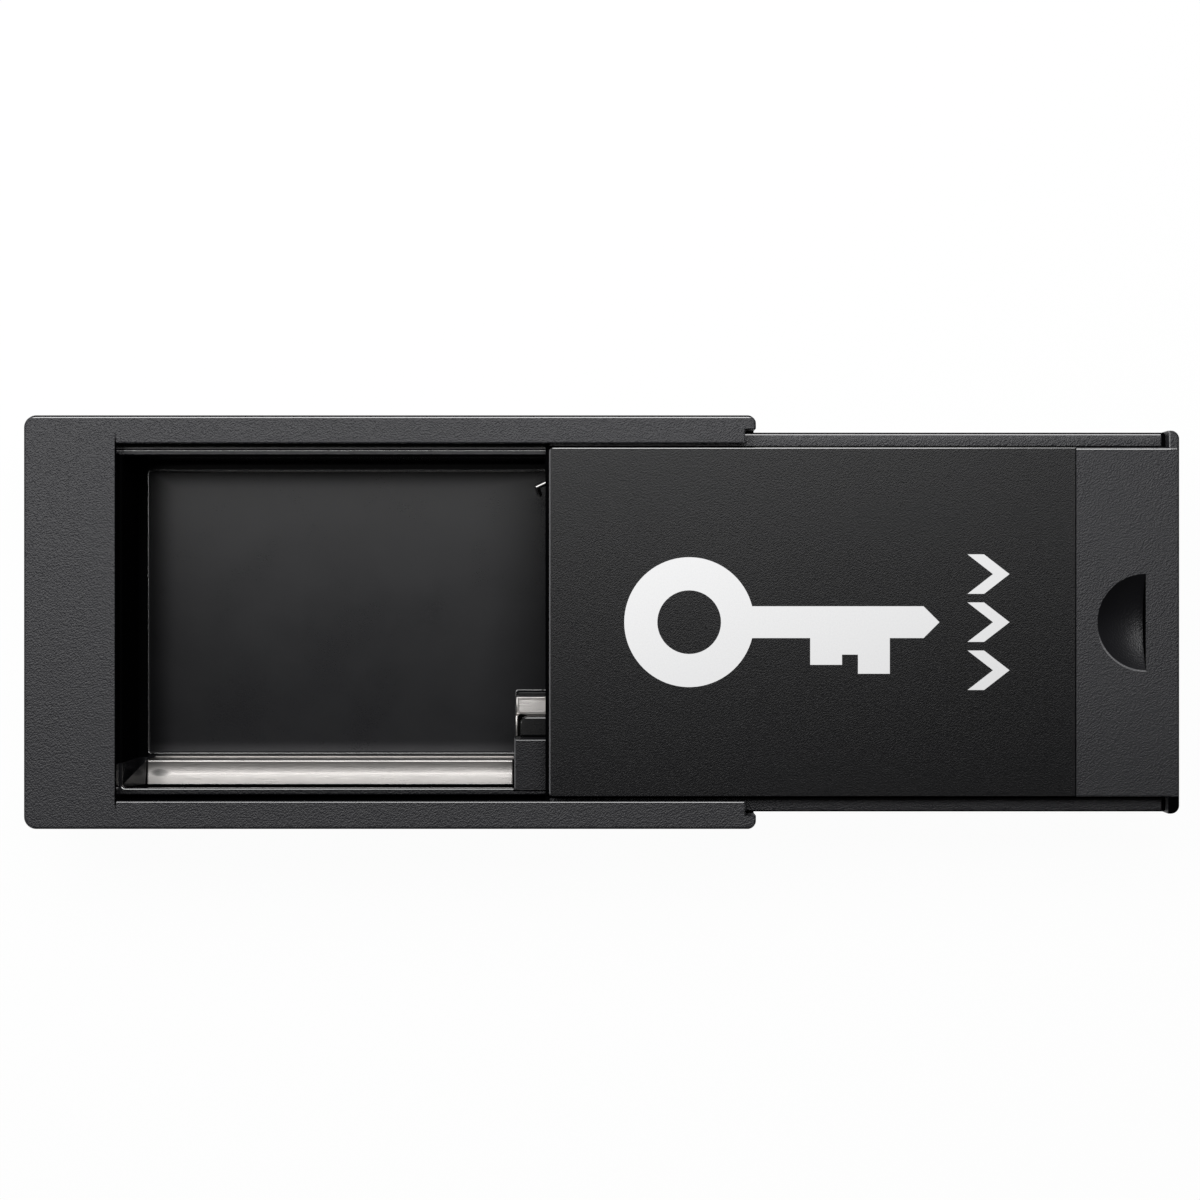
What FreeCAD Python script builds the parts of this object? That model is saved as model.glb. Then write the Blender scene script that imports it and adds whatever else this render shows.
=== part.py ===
import FreeCAD, Part
import os

# Magnetic key holder box with a sliding lid. All sizes in millimetres.
# Frame: the origin is the centre of the back pad's face, which clings to steel.
# +Z points out of the lid, +X is the way the lid slides open, +Y is the upper side.
# The lid is modelled fully open, against its stop pins.

# ---- casing ----
box_length = 115.0
box_width = 65.0
box_height = 24.0
back_step = 0.5             # casing's back edge in front of the pad's face
left_end_width = 14.5       # plain end over the left magnets
right_end_width = 15.0      # end block over the right magnets
rim_width = 4.4             # top rim beside the lid opening
rim_thickness = 1.8         # rim above the rail grooves
side_wall = 2.3             # wall outside the rail grooves
bay_wall = 6.25             # outer side to the key compartment
bay_corner_radius = 0.5
end_step = 0.35             # step in the left end wall, level with the ledge bars
floor_height = 3.0          # compartment's floor above the origin
cove_radius = 1.3           # hollow round at the foot of the compartment's walls
bar_gap = 0.7               # open part of the deep groove, between ledge bar and rim
groove_depth = 1.55         # deep groove below the ledge bar
groove_end_wall = 3.0       # closes the deep groove at the right end
notch_depth = 1.7           # seat of the lid's end flange
notch_wall = 2.1            # hooks beside the notch
left_corner_radius = 1.9
right_corner_radius = 1.3
top_edge_radius = 0.45
opening_edge_radius = 0.25
ledge_edge_radius = 0.3
back_edge_radius = 0.6
core_width = 2.5            # hollow inside each long side wall
core_roof = 1.8
core_web = 6.0              # solid web left for the middle screws

# ---- magnets, back cover, pad ----
magnet_length = 9.0
magnet_height = 5.0
magnet_chamfer = 0.3
magnet_spacing = 2.0        # between the two magnets of one end
magnet_gap = 0.3
keeper_thickness = 1.2
keeper_corner_radius = 0.8
chamber_wall = 2.3          # between a magnet chamber and the compartment
chamber_screw_wall = 1.85   # between a magnet chamber and the cover screws' holes
chamber_roof = 2.2
rib_thickness = 1.2         # ribs that hold the keeper plates down
rib_spacing = 19.0
cover_thickness = 1.5
cover_gap = 0.2
cover_wall = 1.6            # casing wall round the cover
cover_corner_radius = 1.2
pad_thickness = 1.0
pad_end_margin = 3.0        # pad to the casing's ends
pad_screw_margin = 1.0      # pad to the cover screws' heads
pad_gap = 0.1
pad_corner_radius = 3.0
pad_chamfer = 0.2

# ---- lid ----
lid_held_length = 32.5      # part of the open lid that stays in the box
lid_thickness = 3.5
panel_thickness = 1.4
panel_edge_radius = 0.25
panel_corner_radius = 0.75
lid_side_gap = 0.6          # lid's top to the rim's edge
closed_gap = 1.5            # lid's top to the opening's left edge when closed
lip_reach = 0.6             # base plate in front of the lid's top
slide_gap = 0.15            # lid over the ledge bars
rail_top_gap = 0.2          # rail under the rim
rail_side_gap = 0.3         # rail to the groove's wall
rail_width = 5.5
rail_end_gap = 0.7          # rail's raised part to the end flange
rail_end_radius = 0.4
rail_tongue_gap = 0.05      # rail's tongue to the end flange
rail_step = 0.45            # tongue and groove below the raised part
rail_groove = 0.3           # groove beside the lid's top
grip_length = 16.2
grip_edge_radius = 0.4
flange_thickness = 1.7
flange_height = 6.8
flange_gap = 0.3
flange_corner_radius = 1.3
scoop_radius = 7.6
scoop_depth = 2.7
scoop_inset = 5.3           # thumb scoop's flat wall to the flange's outer face

# ---- screws and pins ----
shank_radius = 1.1
head_radius = 2.1
head_height = 1.1
screw_length = 8.0
screw_end_gap = 1.0
screw_inset = 4.2           # cover screws to the casing's long sides
small_shank_radius = 0.55
small_head_radius = 1.1
small_head_height = 0.5
small_screw_length = 1.9
rail_screw_inset = 1.7      # rail screws to the rails' inner edges
rail_screw_first = 9.0      # first rail screw to the lid's inner edge
rail_screw_step = 40.0
rail_screw_count = 3
hole_gap = 0.05             # screws, pins and close seats
pin_radius = 0.6
pin_inset = 7.5             # stop pins to the casing's right end
pin_wall_gap = 1.5          # stop pins' middle to the groove's outer wall
pin_depth = 4.0             # stop pin below the groove
pin_reach = 2.2             # stop pin above the groove
pin_gap = 0.15
pin_chamfer = 0.15

# ---- floor liner and key rail ----
liner_thickness = 0.3
liner_lip = 0.35            # raised edge, as wide as it is high
liner_gap = 0.15
liner_lower_margin = 4.85   # liner's lower edge to the wall
strip_thickness = 0.45
strip_reach = 3.9           # rail's front to the wall
strip_foot = 0.2            # foot in front of the rail
strip_height = 8.2          # rail's front edge above the floor
strip_bend_radius = 0.35
strip_hollow = 0.06         # sag between the front edge and the crease
strip_crease_margin = 1.7   # crease to the wall
strip_crease_rise = 0.15    # crease above the front edge
strip_back_rise = 0.2       # back edge above the crease
strip_start = 2.5           # rail's left end to the compartment's end wall
strip_end_gap = 0.4         # rail to the magnet carrier
web_margin = 0.4            # corner web's start to the lower wall
web_drop = 0.1              # corner web below the ledge bars' rounded edges

# ---- magnet carrier ----
carrier_reach = 5.0         # carrier in front of the open lid's lip
carrier_width = 7.75        # block, from the lower wall
carrier_top_gap = 0.75      # block below the ledge bar
carrier_hook = 0.45         # block hooks this far into the wall
carrier_hook_height = 3.6
carrier_edge_radius = 0.35
carrier_base_width = 14.75  # base plate, from the lower wall
carrier_base_height = 1.6
carrier_base_radius = 0.3
carrier_rim_width = 0.35    # low rim in front of the retaining magnet
carrier_rim_height = 0.9
carrier_gap = 0.1
carrier_screw_reach = 11.6  # screw behind the carrier's inner end
carrier_screw_margin = 3.75  # screw to the lower wall
carrier_end_wall = 1.5      # closes the magnet's seat at the carrier's right end
retainer_width = 2.9
retainer_margin = 11.1      # magnet's outer side to the lower wall
retainer_height = 4.35
pole_thickness = 0.35
pole_radius = 0.15
pole_end_height = 9.0       # turned-down end above the floor
bumper_inset = 0.7          # bumper behind the carrier's inner end
bumper_height = 11.0
bumper_corner_radius = 0.8
bumper_edge_radius = 0.3

# ---- detent ----
post_reach = 11.1           # post's middle behind the open lid's lip
post_length = 5.0
post_width = 6.35
post_drop = 2.9             # post's top below the lid
wire_radius = 0.4
wire_margin = 4.05          # wire to the upper wall
wire_eye_radius = 1.75
wire_run = 1.2              # straight run from the eye
hump_reach = 5.6            # hump behind the open lid's lip
hump_half_length = 0.6
hump_gap = 0.25             # wire to the lid
tip_start = 0.3             # tip's bend behind the lip
tip_length = 1.7
tip_offset = 0.8
tip_tail_length = 1.9
tip_tail_drop = 1.5
dimple_radius = 1.2
dimple_depth = 0.4
pan_head_height = 1.0
pan_head_radius = 1.85
pan_edge_radius = 0.3
pan_slot_width = 0.4
detent_screw_depth = 5.5

# ---- sizes that follow ----
overshoot = 1.0             # how far a cutting shape passes the face that it opens
bite = 0.5                  # how far joined shapes reach into each other
half_length = box_length / 2
half_width = box_width / 2
opening_left = -half_length + left_end_width
opening_half = half_width - rim_width
groove_half = half_width - side_wall
bay_half = half_width - bay_wall
bay_left = opening_left + end_step
bay_right = half_length - right_end_width
rim_under = box_height - rim_thickness
notch_x = half_length - notch_depth
notch_half = half_width - notch_wall
lid_under = box_height - lid_thickness
ledge_top = lid_under - slide_gap
bar_half = opening_half - bar_gap
groove_bottom = ledge_top - groove_depth
rail_top = rim_under - rail_top_gap
rail_half = groove_half - rail_side_gap
rail_inner = rail_half - rail_width
lid_half = opening_half - lid_side_gap
lid_front_x = half_length - lid_held_length
lip_x = lid_front_x - lip_reach
lid_travel = lid_front_x - opening_left - closed_gap
lid_end_x = half_length + lid_travel
flange_x = lid_end_x - flange_thickness
flange_half = notch_half - flange_gap
grip_x = lid_end_x - grip_length
panel_under = box_height - panel_thickness
rail_end_x = flange_x - rail_end_gap
cover_seat = back_step + cover_thickness
screw_row = half_width - screw_inset
chamber_length = magnet_length + 2 * magnet_gap
chamber_half = screw_row - shank_radius - hole_gap - chamber_screw_wall
left_chamber_x = opening_left - chamber_wall - chamber_length / 2
right_chamber_x = bay_right + chamber_wall + chamber_length / 2
keeper_under = cover_seat + magnet_height
keeper_top = keeper_under + keeper_thickness
keeper_half = chamber_half - magnet_gap
pad_half_x = half_length - pad_end_margin
pad_half_y = screw_row - head_radius - pad_screw_margin
pin_x = half_length - pin_inset
pin_row = groove_half - pin_wall_gap
pin_top = groove_bottom + pin_reach
liner_top = floor_height + liner_thickness
liner_y = liner_lower_margin - bay_half
strip_left = bay_left + strip_start
strip_front_y = strip_reach - bay_half
strip_crease_y = strip_crease_margin - bay_half
strip_top = floor_height + strip_height
carrier_x = lip_x - carrier_reach
carrier_y = carrier_width - bay_half
carrier_top = ledge_top - carrier_top_gap
carrier_hook_z = carrier_top - carrier_hook_height
carrier_base_y = carrier_base_width - bay_half
carrier_screw_x = carrier_x + carrier_screw_reach
carrier_screw_y = carrier_screw_margin - bay_half
carrier_right = bay_right - cove_radius - carrier_gap
seat_right = carrier_right - carrier_end_wall
retainer_right = seat_right - hole_gap
retainer_y0 = retainer_margin - bay_half
retainer_y1 = retainer_y0 + retainer_width
retainer_top = liner_top + retainer_height
post_x = lip_x + post_reach
post_y = bay_half - post_width
post_top = lid_under - post_drop
wire_row = bay_half - wire_margin
hump_x = lip_x + hump_reach
cover_screw_places = []
for screw_x in (left_chamber_x, 0.0, right_chamber_x):
    cover_screw_places += [(screw_x, -screw_row), (screw_x, screw_row)]
rail_screw_places = []
for index in range(rail_screw_count):
    screw_x = lid_front_x + rail_screw_first + index * rail_screw_step
    screw_y = rail_inner + rail_screw_inset
    rail_screw_places += [(screw_x, -screw_y), (screw_x, screw_y)]


def vec(x, y, z):
    return FreeCAD.Vector(x, y, z)


def block(x0, x1, y0, y1, z0, z1):
    """Box between two corners."""
    return Part.makeBox(x1 - x0, y1 - y0, z1 - z0, vec(x0, y0, z0))


def rod(radius, x, y, z0, z1):
    """Upright cylinder."""
    return Part.makeCylinder(radius, z1 - z0, vec(x, y, z0))


def both_sides(inner, outer):
    """The same strip of Y on the lower and the upper side."""
    return ((-outer, -inner), (inner, outer))


def prism(corners, along):
    """Flat outline drawn out into a solid."""
    return Part.Face(Part.makePolygon(corners + corners[:1])).extrude(along)


def upright_edges(shape, x, *rows):
    """Vertical edges of the shape that stand at x and one of the rows."""
    found = []
    for edge in shape.Edges:
        box = edge.BoundBox
        upright = box.XLength < 0.01 and box.YLength < 0.01 and abs(box.XMin - x) < 0.01
        if upright and any(abs(box.YMin - y) < 0.01 for y in rows):
            found.append(edge)
    return found


def level_edges(shape, z):
    """Edges of the shape that lie flat at height z."""
    found = []
    for edge in shape.Edges:
        box = edge.BoundBox
        if box.ZLength < 0.001 and abs(box.ZMin - z) < 0.001:
            found.append(edge)
    return found


def rounded_block(x0, x1, y0, y1, z0, z1, radius):
    """Box with its four upright edges rounded."""
    shape = block(x0, x1, y0, y1, z0, z1)
    return shape.makeFillet(radius, upright_edges(shape, x0, y0, y1) + upright_edges(shape, x1, y0, y1))


def flat_screw(place, shank, head, height, length, turned=False):
    """Countersunk cross-head screw, its head's face at the place, pointing up unless turned."""
    body = Part.makeCone(head, shank, height)
    body = body.fuse(rod(shank, 0, 0, height, length))
    arm = head * 0.6
    slot = head * 0.14
    body = body.cut(block(-arm, arm, -slot, slot, -overshoot, height * 0.6))
    body = body.cut(block(-slot, slot, -arm, arm, -overshoot, height * 0.6))
    if turned:
        body.rotate(vec(0, 0, 0), vec(1, 0, 0), 180)
    body.translate(place)
    return body.removeSplitter()


def flat_screw_hole(place, shank, head, height, length, turned=False):
    """Countersunk hole that takes the screw with a small gap."""
    body = Part.makeCone(head + hole_gap, shank + hole_gap, height)
    body = body.fuse(rod(shank + hole_gap, 0, 0, 0, length + hole_gap))
    if turned:
        body.rotate(vec(0, 0, 0), vec(1, 0, 0), 180)
    body.translate(place)
    return body


def casing_shell():
    """Outer shape of the casing, with its rounded corners and edges."""
    shell = block(-half_length, half_length, -half_width, half_width, back_step, box_height)
    shell = shell.makeFillet(left_corner_radius, upright_edges(shell, -half_length, -half_width, half_width))
    shell = shell.makeFillet(right_corner_radius, upright_edges(shell, half_length, -half_width, half_width))
    shell = shell.makeFillet(top_edge_radius, level_edges(shell, box_height))
    return shell.makeFillet(back_edge_radius, level_edges(shell, back_step))


def lid_way():
    """Space for the lid: the opening in the top, the rail grooves, and the flange's notch."""
    past_end = half_length + overshoot
    above = box_height + overshoot
    notch_floor = box_height - flange_height - flange_gap
    spaces = [
        block(opening_left, past_end, -opening_half, opening_half, ledge_top, above),
        block(notch_x, past_end, -notch_half, notch_half, notch_floor, above),
    ]
    for y0, y1 in both_sides(bar_half, groove_half):
        spaces.append(block(opening_left, past_end, y0, y1, ledge_top, rim_under))
        spaces.append(block(opening_left, notch_x - groove_end_wall, y0, y1, groove_bottom, rim_under))
    for y in (-pin_row, pin_row):
        hole_floor = groove_bottom - pin_depth
        spaces.append(rod(pin_radius + hole_gap, pin_x, y, hole_floor, groove_bottom + overshoot))
    return spaces


def key_bay():
    """Key compartment, with hollow rounds along the foot of its walls."""
    bay = rounded_block(bay_left, bay_right, -bay_half, bay_half, floor_height, box_height + overshoot,
                        bay_corner_radius)
    round_z = floor_height + cove_radius
    length = bay_right - bay_left
    for wall, inward in ((-bay_half, 1), (bay_half, -1)):
        foot = block(bay_left, bay_right, *sorted((wall, wall + inward * cove_radius)),
                     floor_height, round_z)
        start = vec(bay_left - overshoot, wall + inward * cove_radius, round_z)
        foot = foot.cut(Part.makeCylinder(cove_radius, length + 2 * overshoot, start, vec(1, 0, 0)))
        bay = bay.cut(foot)
    for wall, inward in ((bay_left, 1), (bay_right, -1)):
        foot = block(*sorted((wall, wall + inward * cove_radius)), -bay_half, bay_half,
                     floor_height, round_z)
        start = vec(wall + inward * cove_radius, -bay_half - overshoot, round_z)
        foot = foot.cut(Part.makeCylinder(cove_radius, 2 * (bay_half + overshoot), start, vec(0, 1, 0)))
        bay = bay.cut(foot)
    post = block(post_x - post_length / 2, post_x + post_length / 2, post_y, bay_half + bite,
                 floor_height - bite, post_top)
    bay = bay.cut(post).cut(corner_web())
    hook_seat = block(carrier_x - carrier_gap, bay_right, -bay_half - carrier_hook - carrier_gap,
                      -bay_half + bite, carrier_hook_z - carrier_gap, box_height)
    return bay.fuse(hook_seat)


def corner_web():
    """Slanting web in the compartment's corner, which the key rail's left end meets."""
    right = strip_left - hole_gap
    low = floor_height - bite
    high = ledge_top - ledge_edge_radius - web_drop
    wall_y = -bay_half - bite
    slope = [
        vec(bay_left - bite, wall_y, low),
        vec(right, wall_y, low),
        vec(right, wall_y, strip_top),
        vec(bay_left, wall_y, high),
        vec(bay_left - bite, wall_y, high),
    ]
    plan = [
        vec(bay_left - bite, wall_y, low),
        vec(right, wall_y, low),
        vec(right, strip_front_y, low),
        vec(bay_left, web_margin - bay_half, low),
        vec(bay_left - bite, web_margin - bay_half, low),
    ]
    return prism(slope, vec(0, bay_half, 0)).common(prism(plan, vec(0, 0, box_height)))


def magnet_chamber(middle, roof):
    """Room for the magnets of one end, open to the back, with ribs over the keeper plate."""
    x0 = middle - chamber_length / 2
    x1 = middle + chamber_length / 2
    chamber = block(x0, x1, -chamber_half, chamber_half, cover_seat, roof)
    for y in (-rib_spacing, 0.0, rib_spacing):
        rib = block(x0, x1, y - rib_thickness / 2, y + rib_thickness / 2, keeper_top + hole_gap, roof)
        chamber = chamber.cut(rib)
    return chamber


def make_casing():
    """Moulded box that carries everything but the lid."""
    shell = casing_shell()
    cuts = lid_way()
    cuts.append(key_bay())
    cuts.append(rounded_block(-half_length + cover_wall, half_length - cover_wall, -half_width + cover_wall,
                              half_width - cover_wall, back_step - overshoot, cover_seat,
                              cover_corner_radius))
    cuts.append(magnet_chamber(left_chamber_x, box_height - chamber_roof))
    cuts.append(magnet_chamber(right_chamber_x, ledge_top - chamber_roof))
    for y0, y1 in both_sides(groove_half - core_width, groove_half):
        for x0, x1 in ((opening_left, -core_web / 2), (core_web / 2, bay_right)):
            cuts.append(block(x0, x1, y0, y1, cover_seat, groove_bottom - core_roof))
    for x, y in cover_screw_places:
        hole_top = back_step + screw_length + screw_end_gap
        cuts.append(rod(shank_radius + hole_gap, x, y, cover_seat - overshoot, hole_top))
    cuts.append(rod(small_shank_radius + hole_gap, post_x, wire_row,
                    post_top - detent_screw_depth - hole_gap, post_top + overshoot))
    for cut in cuts:
        shell = shell.cut(cut)
    return soften_opening(shell.removeSplitter())


def soften_opening(shell):
    """Round the edges round the lid opening and along the ledge bars."""
    rim = []
    for edge in level_edges(shell, box_height):
        box = edge.BoundBox
        if box.XMax < notch_x + bite and max(-box.YMin, box.YMax) < notch_half + bite:
            rim.append(edge)
    shell = shell.makeFillet(opening_edge_radius, rim)
    bars = []
    for edge in level_edges(shell, ledge_top):
        box = edge.BoundBox
        if box.YLength < 0.01 and abs(abs(box.YMin) - bar_half) < 0.01:
            bars.append(edge)
        if box.YLength < 0.01 and abs(abs(box.YMin) - bay_half) < 0.01:
            bars.append(edge)
    return shell.makeFillet(ledge_edge_radius, bars)


def make_back_cover():
    """Plate that closes the magnet chambers, recessed for the pad."""
    x_half = half_length - cover_wall - cover_gap
    y_half = half_width - cover_wall - cover_gap
    plate = rounded_block(-x_half, x_half, -y_half, y_half, back_step, cover_seat,
                          cover_corner_radius - cover_gap)
    x_half = pad_half_x + pad_gap
    y_half = pad_half_y + pad_gap
    plate = plate.cut(rounded_block(-x_half, x_half, -y_half, y_half, back_step - overshoot, pad_thickness,
                                    pad_corner_radius + pad_gap))
    for x, y in cover_screw_places:
        hole = flat_screw_hole(vec(x, y, back_step), shank_radius, head_radius, head_height, screw_length)
        plate = plate.cut(hole)
    return plate


def make_back_pad():
    """Rubber pad that grips the steel."""
    pad = rounded_block(-pad_half_x, pad_half_x, -pad_half_y, pad_half_y, 0, pad_thickness,
                        pad_corner_radius)
    return pad.makeChamfer(pad_chamfer, level_edges(pad, 0))


def make_cover_screws():
    """Countersunk screws of the back cover."""
    screws = []
    for x, y in cover_screw_places:
        screws.append(flat_screw(vec(x, y, back_step), shank_radius, head_radius, head_height, screw_length))
    return Part.makeCompound(screws)


def make_magnet(middle, side):
    """One block magnet, lying on the back cover."""
    rows = sorted((side * magnet_spacing / 2, side * keeper_half))
    magnet = block(middle - magnet_length / 2, middle + magnet_length / 2, *rows, cover_seat, keeper_under)
    edges = level_edges(magnet, cover_seat) + level_edges(magnet, keeper_under)
    return magnet.makeChamfer(magnet_chamfer, edges)


def make_keeper(middle):
    """Steel plate behind the two magnets of one end."""
    return rounded_block(middle - magnet_length / 2, middle + magnet_length / 2, -keeper_half, keeper_half,
                         keeper_under, keeper_top, keeper_corner_radius)


def make_floor_liner():
    """Smooth sheet on the compartment's floor, with a fine raised edge."""
    edge = cove_radius + liner_gap
    x0 = bay_left + edge
    x1 = bay_right - edge
    y1 = bay_half - edge
    lip_top = liner_top + liner_lip
    sheet = block(x0, x1, liner_y, y1, floor_height, lip_top)
    sheet = sheet.cut(block(x0 + liner_lip, x1 - liner_lip, liner_y + liner_lip, y1 - liner_lip,
                            liner_top, lip_top + overshoot))
    carrier_room = block(carrier_x - liner_gap, bay_right, -bay_half, carrier_base_y + liner_gap,
                         floor_height - overshoot, lip_top + overshoot)
    half_post = post_length / 2 + liner_gap
    post_room = block(post_x - half_post, post_x + half_post, post_y - liner_gap, bay_half,
                      floor_height - overshoot, lip_top + overshoot)
    return sheet.cut(carrier_room).cut(post_room)


def make_key_rail():
    """Rolled steel strip: a foot on the floor, an upright front, and a hollow top with a crease."""
    foot_y = strip_front_y + strip_foot
    hollow_y = (strip_front_y + strip_crease_y) / 2
    hollow_z = strip_top - strip_hollow
    crease_z = strip_top + strip_crease_rise
    back_y = hole_gap - bay_half
    back_z = crease_z + strip_back_rise
    outline = [
        (foot_y, floor_height),
        (foot_y, floor_height + strip_thickness),
        (strip_front_y, floor_height + strip_thickness),
        (strip_front_y, strip_top),
        (hollow_y, hollow_z),
        (strip_crease_y, crease_z),
        (back_y, back_z),
        (back_y, back_z - strip_thickness),
        (strip_crease_y, crease_z - strip_thickness),
        (hollow_y, hollow_z - strip_thickness),
        (strip_front_y - strip_thickness, strip_top - strip_thickness),
        (strip_front_y - strip_thickness, floor_height),
    ]
    length = carrier_x - strip_end_gap - strip_left
    rail = prism([vec(strip_left, y, z) for y, z in outline], vec(length, 0, 0))
    return rail.makeFillet(strip_bend_radius, level_edges(rail, strip_top))


def make_magnet_carrier():
    """Moulded block beside the open lid's edge, hooked into the lower wall, with a seat for the magnet."""
    wall_y = hole_gap - bay_half
    hook_y = -bay_half - carrier_hook
    above_cove = floor_height + cove_radius
    body = block(carrier_x, carrier_right, wall_y + cove_radius, carrier_y, floor_height, carrier_top)
    body = body.fuse(block(carrier_x, carrier_right, wall_y, carrier_y, above_cove, carrier_top))
    body = body.fuse(block(carrier_x, carrier_right, hook_y, carrier_y, carrier_hook_z, carrier_top))
    body = body.removeSplitter()
    body = body.makeFillet(carrier_edge_radius, level_edges(body, carrier_top))
    base_top = floor_height + carrier_base_height
    base = rounded_block(carrier_x + carrier_gap, carrier_right, carrier_y - bite, carrier_base_y,
                         floor_height, base_top, carrier_edge_radius)
    base = base.makeFillet(carrier_base_radius, level_edges(base, base_top))
    rim_y = retainer_y1 + hole_gap
    rim = block(carrier_x + carrier_gap, carrier_right, rim_y, rim_y + carrier_rim_width,
                base_top - bite, base_top + carrier_rim_height)
    body = body.fuse(base).fuse(rim)
    body = body.cut(block(carrier_x - overshoot, seat_right, carrier_y, retainer_y1 + hole_gap,
                          liner_top, carrier_top))
    body = body.cut(flat_screw_hole(vec(carrier_screw_x, carrier_screw_y, carrier_top), shank_radius,
                                    head_radius, head_height, screw_length, turned=True))
    return body.removeSplitter()


def make_carrier_screw():
    """Countersunk screw in the top of the carrier."""
    return flat_screw(vec(carrier_screw_x, carrier_screw_y, carrier_top), shank_radius, head_radius,
                      head_height, screw_length, turned=True)


def make_retaining_magnet():
    """Bar magnet that holds the keys by their steel ring."""
    return block(carrier_x + pole_thickness + hole_gap, retainer_right, retainer_y0, retainer_y1,
                 liner_top, retainer_top)


def make_pole_plate():
    """Bright steel plate over the magnet, its end turned down and carried on past the bumper."""
    end_x = carrier_x + pole_thickness
    top = retainer_top + pole_thickness
    cap = block(carrier_x, retainer_right, retainer_y0, retainer_y1, retainer_top, top)
    cap = cap.fuse(block(carrier_x, end_x, retainer_y0, retainer_y1, liner_top, top)).removeSplitter()
    cap = cap.makeFillet(pole_radius, level_edges(cap, top))
    tall_end = block(carrier_x, end_x, carrier_y + hole_gap, retainer_y0, liner_top,
                     floor_height + pole_end_height)
    return cap.fuse(tall_end).removeSplitter()


def make_bumper():
    """Rubber pad between the magnet and the carrier's block."""
    left = carrier_x + bumper_inset
    top = floor_height + bumper_height
    inner_y = retainer_y0 - hole_gap
    pad = block(left, retainer_right, carrier_y + hole_gap, inner_y, liner_top, top)
    pad = pad.makeFillet(bumper_corner_radius, upright_edges(pad, left, inner_y))
    return pad.makeFillet(bumper_edge_radius, level_edges(pad, top))


def make_detent_wire():
    """Spring wire: an eye under its screw, a hump for the lid's dimples, and a turned tip."""
    eye_z = post_top + wire_radius
    hump_z = lid_under - hump_gap - wire_radius
    tip_z = (eye_z + hump_z) / 2
    tip_x = lip_x + tip_start
    run_x = post_x - wire_eye_radius
    points = [
        vec(run_x, wire_row, eye_z),
        vec(run_x - wire_run, wire_row, eye_z),
        vec(hump_x + hump_half_length, wire_row, hump_z),
        vec(hump_x - hump_half_length, wire_row, hump_z),
        vec(tip_x, wire_row, tip_z),
        vec(tip_x - tip_length, wire_row - tip_offset, tip_z),
        vec(tip_x - tip_length + wire_radius, wire_row - tip_tail_length, tip_z - tip_tail_drop),
    ]
    wire = Part.makeTorus(wire_eye_radius, wire_radius, vec(post_x, wire_row, eye_z))
    for start, end in zip(points, points[1:]):
        along = end.sub(start)
        wire = wire.fuse(Part.makeCylinder(wire_radius, along.Length, start, along))
        wire = wire.fuse(Part.makeSphere(wire_radius, end))
    return wire.removeSplitter()


def make_detent_screw():
    """Pan-head screw that holds the wire's eye on its post."""
    under_head = post_top + 2 * wire_radius + hole_gap
    top = under_head + pan_head_height
    head = rod(pan_head_radius, post_x, wire_row, under_head, top)
    head = head.makeFillet(pan_edge_radius, level_edges(head, top))
    screw = head.fuse(rod(small_shank_radius, post_x, wire_row, post_top - detent_screw_depth, under_head))
    slot = block(post_x - pan_head_radius, post_x + pan_head_radius, wire_row - pan_slot_width / 2,
                 wire_row + pan_slot_width / 2, top - pan_head_height / 2, top + overshoot)
    return screw.cut(slot)


def make_stop_pin(side):
    """Steel dowel in the groove's floor that ends the lid's travel."""
    pin = rod(pin_radius, pin_x, side * pin_row, groove_bottom - pin_depth + hole_gap, pin_top)
    return pin.makeChamfer(pin_chamfer, level_edges(pin, pin_top))


def thumb_scoop():
    """Half of a shallow bowl, ended by a flat wall that the thumb pushes."""
    wall_x = lid_end_x - scoop_inset
    bowl_radius = (scoop_radius ** 2 + scoop_depth ** 2) / (2 * scoop_depth)
    bowl = Part.makeSphere(bowl_radius, vec(wall_x, 0, box_height - scoop_depth + bowl_radius))
    return bowl.common(block(wall_x - 2 * bowl_radius, wall_x, -bowl_radius, bowl_radius,
                             lid_under, box_height + overshoot))


def make_lid_carrier():
    """Lid's moulded body: base plate, grip block with the thumb scoop, and the end flange."""
    base = block(lip_x, flange_x + bite, -rail_inner, rail_inner, lid_under, rail_top)
    top = block(lid_front_x, flange_x + bite, -lid_half, lid_half, rail_top, panel_under)
    top = top.makeFillet(panel_corner_radius, upright_edges(top, lid_front_x, -lid_half, lid_half))
    grip = block(grip_x, flange_x + bite, -lid_half, lid_half, rail_top, box_height)
    flange = block(flange_x, lid_end_x, -flange_half, flange_half, box_height - flange_height, box_height)
    corners = upright_edges(flange, lid_end_x, -flange_half, flange_half)
    flange = flange.makeFillet(flange_corner_radius, corners)
    lid = base.fuse(top).fuse(grip).fuse(flange).removeSplitter()
    rim = [edge for edge in level_edges(lid, box_height) if edge.BoundBox.XMax > grip_x + bite]
    lid = lid.makeFillet(grip_edge_radius, rim)
    lid = lid.cut(thumb_scoop())
    ball = (dimple_radius ** 2 + dimple_depth ** 2) / (2 * dimple_depth)
    for x in (hump_x, hump_x + lid_travel):
        lid = lid.cut(Part.makeSphere(ball, vec(x, wire_row, lid_under + dimple_depth - ball)))
    for x, y in rail_screw_places:
        hole_top = lid_under + small_screw_length + hole_gap
        lid = lid.cut(rod(small_shank_radius + hole_gap, x, y, lid_under, hole_top))
    return lid.removeSplitter()


def make_lid_panel():
    """Smooth panel let into the top of the lid."""
    panel = block(lid_front_x, grip_x, -lid_half, lid_half, panel_under, box_height)
    panel = panel.makeFillet(panel_corner_radius, upright_edges(panel, lid_front_x, -lid_half, lid_half))
    return panel.makeFillet(panel_edge_radius, level_edges(panel, box_height))


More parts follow.
